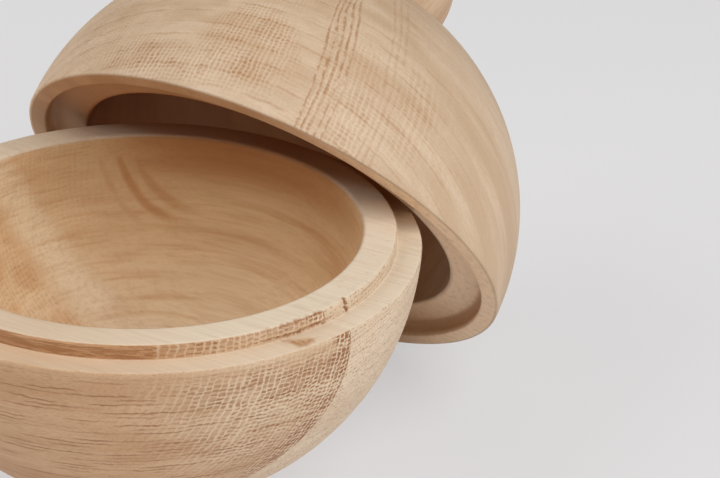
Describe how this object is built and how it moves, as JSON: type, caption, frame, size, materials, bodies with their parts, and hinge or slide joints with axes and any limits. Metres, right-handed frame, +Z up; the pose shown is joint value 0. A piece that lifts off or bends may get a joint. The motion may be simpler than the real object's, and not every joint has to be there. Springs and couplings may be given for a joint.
{
  "type": "wooden ball box",
  "caption": "Turned oak ball that opens: a thick bowl with a stepped rim on a low foot, and its domed lid with a ball knob, taken off and leaning against it.",
  "frame": {"origin": "middle of the underside of the bowl's foot, on the table", "axes": "+Z up along the bowl's turning axis, +Y from the bowl towards the leaning lid, +X to the right when the lid lies behind the bowl"},
  "size_m": [0.12, 0.1828, 0.1094],
  "materials": {
    "bowl_oak": "bare, finely sanded oak glued up from boards",
    "lid_oak": "bare, finely sanded oak glued up from boards",
    "knob_oak": "bare, finely sanded oak"
  },
  "bodies": {
    "root": {"bowl": "bowl_oak", "lid": "lid_oak", "knob": "knob_oak"}
  },
  "joints": []
}
